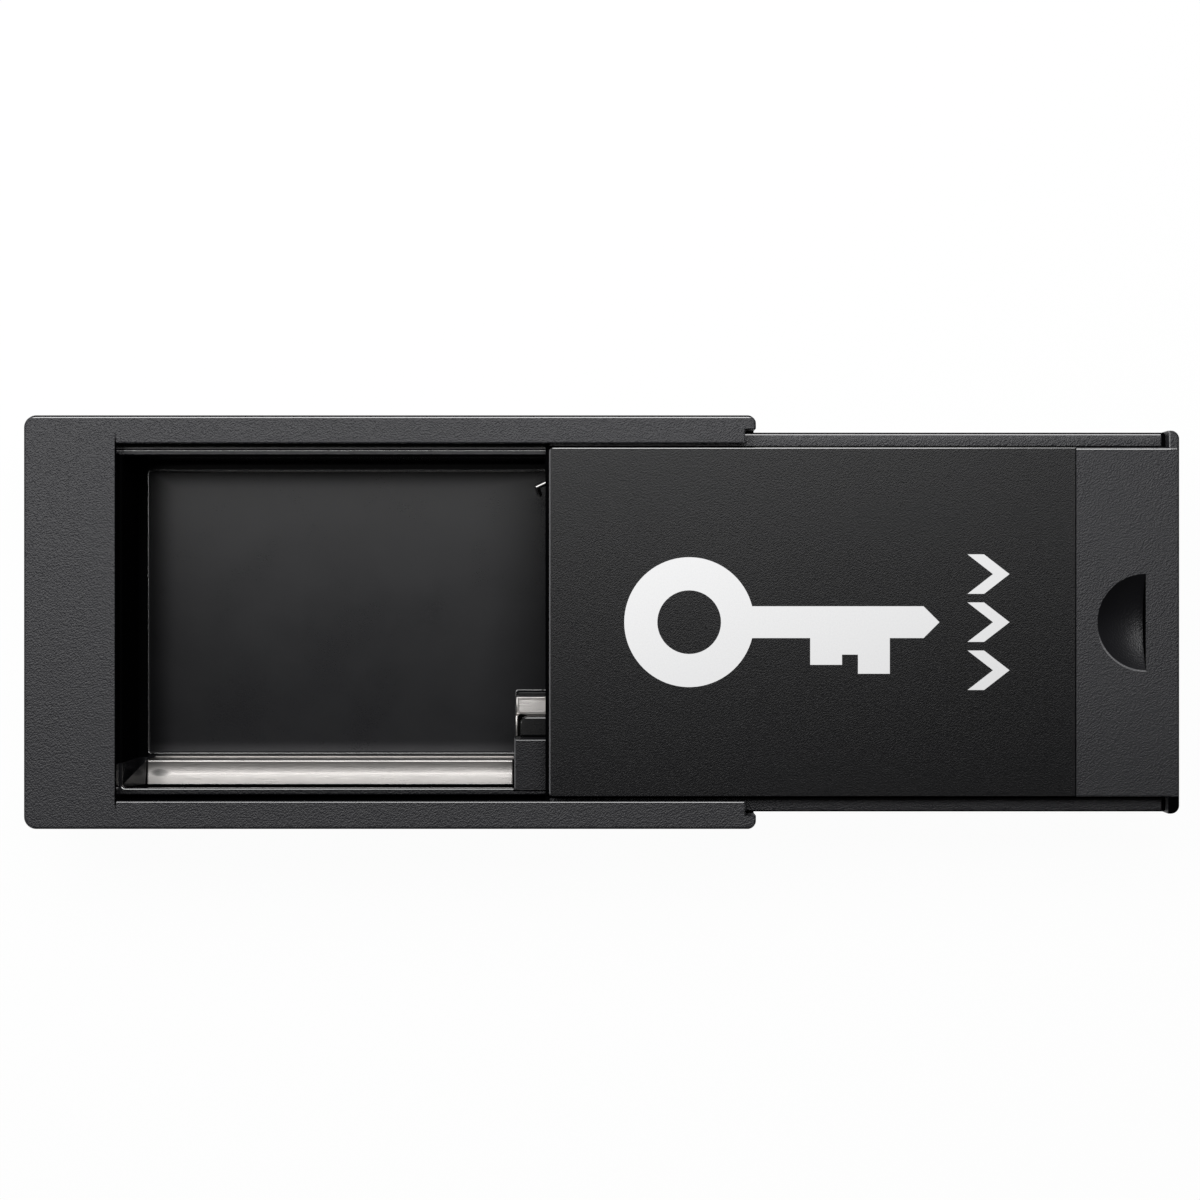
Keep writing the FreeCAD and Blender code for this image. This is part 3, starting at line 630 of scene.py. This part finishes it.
def bumper_sockets(shade):
    x, y, _ = shade.axes()
    sockets = rubber_sockets(shade)
    edge = (bumper_low.x + bumper_rub - x).most(y - (bumper_high.y - bumper_rub))
    sockets["Coat Weight"] = edge.step(-0.02 * mm, 0.04 * mm) * 0.9
    sockets["Coat Roughness"] = 0.1
    sockets["Coat IOR"] = polish_ior
    return sockets


bumper = block(bumper_low, bumper_high)
near = 0.01 * mm
inner_left = [edge for edge in bumper.edges if is_upright(edge)
              and edge.verts[0].co.x < bumper_low.x + near and edge.verts[0].co.y > bumper_high.y - near]
round_edges(bumper, inner_left, bumper_corner, 8)
bumper_top_edges = [edge for edge in bumper.edges if is_level(edge, bumper_high.z)]
round_edges(bumper, bumper_top_edges, bumper_rounding, 5)
bumper_rubber = new_finish("rubber with a rubbed edge", bumper_sockets)
add_piece("bumper_block", bumper, bumper_rubber, "box", "black_rubber", "bumper_pad")

# ---- Detent wire and its screw ----
# A bent spring wire that clicks into a dimple under the lid when the lid is shut or open. Its eye
# lies under a pan-head screw on a post.


def spring_sockets(shade):
    drawn = shade.noise(0.08 * mm, 2.0, 0.5, shade.stretched((20.0, 1.0, 1.0)))
    return {
        "Base Color": drawn.mix((0.26, 0.255, 0.25, 1), (0.36, 0.355, 0.35, 1)),
        "Metallic": 1.0,
        "Roughness": 0.22 + drawn * 0.1,
        "Normal": shade.bump(drawn, 0.002 * mm),
    }


dress("detent_wire", new_finish("spring steel", spring_sockets))
dress("detent_screw", zinc_steel)

# ---- Stop pins ----
# Two zinc-plated steel dowels that end the lid's travel. They are turned from rod and pressed into
# the side grooves.
for side in ("upper", "lower"):
    dress(side + "_stop_pin", zinc_steel)

# ---- Lid carrier ----
# The lid's moulded body: a base plate, a grained grip with a thumb scoop, and the end flange. Only
# its grip and flange are grained.
panel_low, panel_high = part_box("lid_panel")
lid_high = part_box("lid_carrier")[1]
flange_x = lid_high.x - 1.7 * mm
ear_edge_width = 0.2 * mm
grip_edge_from = 0.38 * mm
grip_edge_to = 0.16 * mm
lower_lid_edge_y = -27.3 * mm
scoop_wall_x = lid_high.x - 5.3 * mm
scoop_radius = 7.6 * mm
scoop_floor_z = 20.5 * mm
scoop_ring = 0.22 * mm
scoop_ring_from_y = -5 * mm
scoop_ring_to_y = -1 * mm
scoop_shade_half = 3 * mm
lower_shade_from_y = -26 * mm
lower_shade_to_y = -8 * mm


def lid_sockets(shade):
    x, y, z = shade.axes()
    edge = soft_edge
    blur = 0.02 * mm
    under_panel = 1 - x.step(panel_high.x - 2 * edge, panel_high.x - edge)
    at_top = z.step(lid_high.z - rounded_depth - edge, lid_high.z - rounded_depth) * (1 - under_panel)
    upper_edge = y.within(panel_high.y - grip_edge_from, panel_high.y - grip_edge_to)
    ear_edge = y.step(panel_high.y, panel_high.y + 0.01 * mm) * x.within(flange_x, flange_x + ear_edge_width)
    steep = x.step(lid_high.x - steep_part, lid_high.x - grip_edge_to)
    steep = steep.most(1 - y.step(lower_lid_edge_y - 2 * edge, lower_lid_edge_y))
    from_scoop = (x - scoop_wall_x) * (x - scoop_wall_x) + y * y
    from_scoop = from_scoop.math("SQRT", from_scoop)
    in_scoop = 1 - from_scoop.step(scoop_radius, scoop_radius + blur)
    in_scoop = in_scoop * (1 - x.step(scoop_wall_x + blur, scoop_wall_x + edge))
    below_top = 1 - z.step(lid_high.z - 0.04 * mm, lid_high.z - 0.01 * mm)
    above_floor = z.step(scoop_floor_z, scoop_floor_z + 2 * edge)
    scoop = in_scoop * below_top * above_floor * (1 - under_panel)
    wall = scoop * x.step(scoop_wall_x - 0.03 * mm, scoop_wall_x - 0.01 * mm)
    # Painted highlight: a lighter grey ring along the scoop's lower rim.
    painted_light = from_scoop.within(scoop_radius - edge, scoop_radius + scoop_ring)
    painted_light = painted_light * (1 - y.step(scoop_ring_from_y, scoop_ring_to_y))
    painted_light = painted_light * (1 - x.step(scoop_wall_x, scoop_wall_x + blur)) * at_top
    # Painted shade: dull black on the steep end and lower edges, under the panel, on the scoop's wall and
    # upper half, and thinly towards the lower side.
    upper_scoop = scoop * y.step(-scoop_shade_half, scoop_shade_half) * 0.45
    painted_shade = (at_top * steep).most(under_panel).most(wall).most(upper_scoop)
    lower_shade = 1 - y.step(lower_shade_from_y, lower_shade_to_y)
    painted_shade = painted_shade.most(lower_shade * (1 - painted_light) * 0.14)
    sockets = moulded_plastic(shade, scoop * 0.6, at_top * upper_edge.most(ear_edge), painted_shade)
    sockets["Base Color"] = painted_light.mix(sockets["Base Color"], painted_highlight_grey)
    sockets["Roughness"] = sockets["Roughness"] + scoop * 0.06
    return sockets


dress("lid_carrier", new_finish("grained black lid", lid_sockets))

# ---- Lid panel ----
# A smooth satin sheet of black plastic, cut to shape and glued into the lid's top. It has a fine
# polished edge.
panel_edge = 0.2 * mm
panel_corner = 0.75 * mm
panel_rounding = 0.24 * mm
panel_shade_from_x = 30 * mm
panel_shade_to_x = 105 * mm


def panel_sockets(shade):
    x, y, _ = shade.axes()
    fine = shade.noise(0.15 * mm, 2.0, 0.5, shade.stretched((2.2, 1.0, 1.0), grain_turn))
    haze = shade.noise(25 * mm, 2.0)
    upper_edge = y.step(panel_high.y - panel_rounding, panel_high.y - panel_edge)
    lower_edge = 1 - y.step(panel_edge - 0.04 * mm - panel_high.y, panel_edge - panel_high.y)
    left_edge = 1 - x.step(panel_low.x + panel_edge - 0.02 * mm, panel_low.x + panel_edge + 0.02 * mm)
    plain = haze.mix((0.002, 0.002, 0.0026, 1), (0.0038, 0.0038, 0.0046, 1))
    return {
        # Painted highlight: a lighter grey line along the left edge.
        "Base Color": left_edge.mix(plain, painted_highlight_grey),
        "Roughness": 0.32 + fine * 0.06 - upper_edge * 0.15,
        "Specular IOR Level": 0.29,
        "Coat Weight": upper_edge * 0.8,
        "Coat Roughness": 0.1,
        "Coat IOR": polish_ior,
        "Normal": shade.bump(fine, 0.055 * mm),
        # Painted shade: dull black along the lower edge, and thinly towards the grip.
        "Soot": lower_edge.most(x.step(panel_shade_from_x, panel_shade_to_x) * 0.14),
    }


panel_black = new_finish("satin black panel", panel_sockets)
panel_top = panel_high.z - 0.03 * mm
panel = block(panel_low, (panel_high.x, panel_high.y, panel_top))
lip_corners = [edge for edge in panel.edges
               if is_upright(edge) and edge.verts[0].co.x < panel_low.x + near]
round_edges(panel, lip_corners, panel_corner, 6)
round_edges(panel, [edge for edge in panel.edges if is_level(edge, panel_top)], panel_rounding, 5)
add_piece("panel_sheet", panel, panel_black, "lid", "satin_black_panel", "lid_panel")

# ---- Printed marks ----
# White ink, screen printed on the panel: a plain key, and three arrow heads that show which way
# the lid slides.
print_thickness = 0.02 * mm


def ink_sockets(shade):
    speck = shade.noise(0.3 * mm, 3.0)
    return {
        "Base Color": speck.mix((0.78, 0.78, 0.79, 1), (0.86, 0.86, 0.86, 1)),
        "Roughness": 0.5 + speck * 0.1,
        "Normal": shade.bump(speck, 0.004 * mm),
    }


white_ink = new_finish("white ink", ink_sockets)


def arc(middle, radius, start, end, steps):
    """Points along an arc, its angles in radians."""
    turns = [start + (end - start) * index / steps for index in range(steps + 1)]
    return [(middle[0] + radius * math.cos(turn), middle[1] + radius * math.sin(turn)) for turn in turns]


def printed(name, *outlines):
    """A flat print with the given outlines; an outline inside another is a hole."""
    ink = bmesh.new()
    for outline in outlines:
        ring = [ink.verts.new((x, y, panel_top)) for x, y in outline]
        for pair in zip(ring, ring[1:] + ring[:1]):
            ink.edges.new(pair)
    bmesh.ops.triangle_fill(ink, edges=ink.edges, use_beauty=True)
    raised = bmesh.ops.extrude_face_region(ink, geom=ink.faces)["geom"]
    bmesh.ops.translate(ink, vec=(0, 0, print_thickness),
                        verts=[item for item in raised if isinstance(item, bmesh.types.BMVert)])
    add_piece(name, ink, white_ink, "lid", None)


bow_middle = (47.0 * mm, 0.0)
bow_radius = 10.2 * mm
bow_hole_radius = 5.0 * mm
shank_half = 2.5 * mm
shank_end = 86.3 * mm
tip_length = 2.5 * mm
bow_turn = math.asin(shank_half / bow_radius)
key_bits = [(66.0, 4.2), (71.0, 4.2), (71.0, 2.6), (73.5, 2.6), (73.5, 5.6), (78.5, 5.6)]
bow_steps = 72
hole_corners = 48
key_outline = arc(bow_middle, bow_radius, bow_turn, 2 * math.pi - bow_turn, bow_steps)
key_outline.append((key_bits[0][0] * mm, -shank_half))
key_outline += [(x * mm, -shank_half - depth * mm) for x, depth in key_bits]
key_outline.append((key_bits[-1][0] * mm, -shank_half))
key_outline += [(shank_end - tip_length, -shank_half), (shank_end, 0.0), (shank_end - tip_length, shank_half)]
hole_turn = 2 * math.pi * (hole_corners - 1) / hole_corners
key_hole = arc(bow_middle, bow_hole_radius, 0, hole_turn, hole_corners - 1)
printed("key_mark", key_outline, key_hole)
arrow_left = 90.7 * mm
arrow_width = 6.6 * mm
arrow_half = 3.1 * mm
arrow_stroke = 2.6 * mm
arrow_step = 7.55 * mm
for index in (-1, 0, 1):
    y = index * arrow_step
    nose = arrow_left + arrow_width
    arrow = [
        (arrow_left, y - arrow_half),
        (arrow_left + arrow_stroke, y - arrow_half),
        (nose, y),
        (arrow_left + arrow_stroke, y + arrow_half),
        (arrow_left, y + arrow_half),
        (nose - arrow_stroke, y),
    ]
    printed("arrow_mark_" + str(index + 2), arrow)

# ---- Slide rails and their screws ----
# Moulded bars under the lid's edges, which run on the casing's ledge bars. Their upper faces are
# grained like the casing, and their outer edges are well rounded.
side_rail_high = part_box("upper_slide_rail")[1]
rail_groove = 0.3 * mm
rail_rounding = 0.42 * mm
rail_camber = 0.25 * mm
rail_steep_part = 0.26 * mm
rail_outer_reach = 0.5 * mm
rail_raised_y = 27.85 * mm
rail_tongue_x = 121.6 * mm
rail_tongue_z = 21.6 * mm
rail_lip = 0.1 * mm


def slide_rail_sockets(shade):
    x, y, z = shade.axes()
    blur = 0.02 * mm
    off_middle = abs(y)
    steep_y = side_rail_high.y - rail_steep_part
    raised = z.step(rail_tongue_z - blur, rail_tongue_z + blur)
    upper_edge = raised * y.within(side_rail_high.y - rail_rounding, steep_y)
    steep = raised * off_middle.step(steep_y, steep_y + 2 * blur)
    by_lid = 1 - off_middle.step(rail_raised_y, rail_raised_y + blur)
    by_lid = by_lid.most(x.step(rail_tongue_x, rail_tongue_x + blur))
    by_lip = 1 - x.step(panel_low.x + rail_lip, panel_low.x + rail_lip + blur)
    # Painted shade: dull black on the steep outer edges, in the groove by the lid, at the lip, and thinly on
    # the lower rail.
    lower_side = (1 - y.step(-side_blend, side_blend)) * 0.3
    painted_shade = steep.most((1 - raised) * by_lid).most(by_lip).most(lower_side)
    sockets = moulded_plastic(shade, 0.0, upper_edge, painted_shade)
    sockets["Coat Weight"] = upper_edge * 0.2 + raised * 0.01
    sockets["Roughness"] = sockets["Roughness"] - raised * 0.08
    return sockets


slide_rail_plastic = new_finish("grained black slide rail", slide_rail_sockets)
for side in ("upper", "lower"):
    node = side + "_slide_rail"
    bar = bmesh.new()
    bar.from_mesh(nodes[node].data)
    bmesh.ops.remove_doubles(bar, verts=bar.verts, dist=0.001 * mm)
    bmesh.ops.dissolve_limit(bar, angle_limit=math.radians(1), verts=bar.verts, edges=bar.edges)
    raised_from_y = panel_high.y + rail_groove - near
    outer_from_y = side_rail_high.y - rail_outer_reach
    raised_edges = [edge for edge in bar.edges if is_level(edge, side_rail_high.z)
                    and all(abs(vert.co.y) > raised_from_y for vert in edge.verts)]
    outer_edges = [edge for edge in raised_edges
                   if any(abs(vert.co.y) > outer_from_y for vert in edge.verts)]
    for vert in bar.verts:
        if vert.co.z > side_rail_high.z - near and abs(vert.co.y) > side_rail_high.y - near:
            vert.co.z -= rail_camber
    round_edges(bar, outer_edges, rail_rounding, 5)
    add_piece(side + "_slide_bar", bar, slide_rail_plastic, "lid", "smooth_black_plastic", node)
dress("rail_screws", screw_steel)

# ---- Table top ----
# A plain white sheet that the box lies on, with its back pad down.
table_half = 20.0
table = bmesh.new()
bmesh.ops.create_grid(table, x_segments=1, y_segments=1, size=table_half)
table_mesh = bpy.data.meshes.new("table_top")
table.to_mesh(table_mesh)
table.free()
table_top = bpy.data.objects.new("table_top", table_mesh)
bpy.context.scene.collection.objects.link(table_top)

paper = bpy.data.materials.new("white paper")
paper.use_nodes = True
paper.node_tree.nodes.clear()
paper_shade = Shade(paper.node_tree)
seen = paper_shade.node("ShaderNodeLightPath", {}, {}, "Is Camera Ray")
seen = seen + paper_shade.node("ShaderNodeLightPath", {}, {}, "Is Glossy Ray")
seen = seen + paper_shade.node("ShaderNodeLightPath", {}, {}, "Is Transmission Ray")
matt = paper_shade.node("ShaderNodeBsdfDiffuse", {}, {"Color": (0.9, 0.9, 0.9, 1)})
glow = paper_shade.node("ShaderNodeEmission", {}, {"Color": (1, 1, 1, 1), "Strength": 1.0})
paper_surface = paper_shade.node("ShaderNodeMixShader", {}, {0: seen * 0.97, 1: matt, 2: glow})
paper_shade.fill(paper.node_tree.nodes.new("ShaderNodeOutputMaterial"), {"Surface": paper_surface})
table_mesh.materials.append(paper)

# ---- Studio light ----
# One large soft lamp close above the upper long side, a little to the left, and a weak even fill.


def soft_lamp(name, place, aim, width, height, level):
    """Oblong lamp of even brightness; level is how bright its face is, where 1 is white."""
    lamp = bpy.data.lights.new(name, "AREA")
    lamp.shape = "RECTANGLE"
    lamp.size = width
    lamp.size_y = height
    lamp.energy = level * math.pi * width * height
    holder = bpy.data.objects.new(name, lamp)
    bpy.context.scene.collection.objects.link(holder)
    towards = Vector(aim) - Vector(place)
    holder.matrix_world = Matrix.Translation(place) @ towards.to_track_quat("-Z", "Y").to_matrix().to_4x4()
    holder.visible_camera = False


lamp_place = (-85 * mm, 152 * mm, 260 * mm)
lamp_aim = (-85 * mm, 152 * mm, 0.0)
lamp_width = 560 * mm
lamp_height = 220 * mm
lamp_level = 4.5
fill_level = 0.06
soft_lamp("upper soft lamp", lamp_place, lamp_aim, lamp_width, lamp_height, lamp_level)
world = bpy.data.worlds.new("studio")
world.use_nodes = True
world.node_tree.nodes["Background"].inputs["Color"].default_value = (1, 1, 1, 1)
world.node_tree.nodes["Background"].inputs["Strength"].default_value = fill_level
bpy.context.scene.world = world

# ---- Camera ----
# It looks straight down on the box, from as near as a product photographer stands.
view_width = 188.4 * mm
view_middle = (33.0 * mm, 3.48 * mm)
camera_above_rim = 450 * mm
camera_data = bpy.data.cameras.new("camera")
camera_data.sensor_width = 36
camera_data.lens = camera_data.sensor_width * camera_above_rim / view_width
camera = bpy.data.objects.new("camera", camera_data)
camera.location = (view_middle[0], view_middle[1], box_high.z + camera_above_rim)
bpy.context.scene.collection.objects.link(camera)
bpy.context.scene.camera = camera
bpy.context.scene.view_settings.view_transform = "Standard"

bpy.context.view_layer.update()
